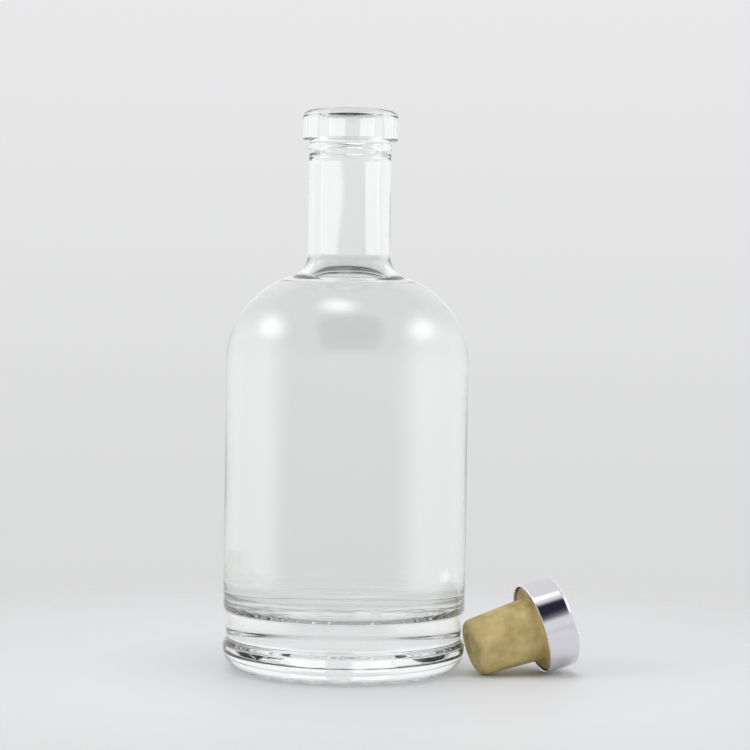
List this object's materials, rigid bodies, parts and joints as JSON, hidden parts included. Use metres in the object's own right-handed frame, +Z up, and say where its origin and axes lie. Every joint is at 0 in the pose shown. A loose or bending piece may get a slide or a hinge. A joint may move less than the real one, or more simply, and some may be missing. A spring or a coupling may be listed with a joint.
{
  "type": "liquor bottle",
  "caption": "Clear round-shouldered spirit bottle with a heavy stepped base, filled with clear liquid, with its metal-capped T-shaped cork stopper lying beside it.",
  "frame": {"origin": "on the table, at the middle of the ground that the bottle and the stopper lying to its right cover together", "axes": "+Z up along the bottle's axis, which is the longest extent, +X from the bottle towards the stopper, +Y away from the picture's camera"},
  "size_m": [0.1218, 0.083, 0.1916],
  "materials": {
    "clear_glass": "polished",
    "clear_spirit": "polished",
    "bright_cap": "polished",
    "tan_cork": "matte"
  },
  "bodies": {
    "root": {"glass_bottle": "clear_glass", "spirit_fill": "clear_spirit", "stopper_cap_shell": "bright_cap", "stopper_cork": "tan_cork"}
  },
  "joints": []
}
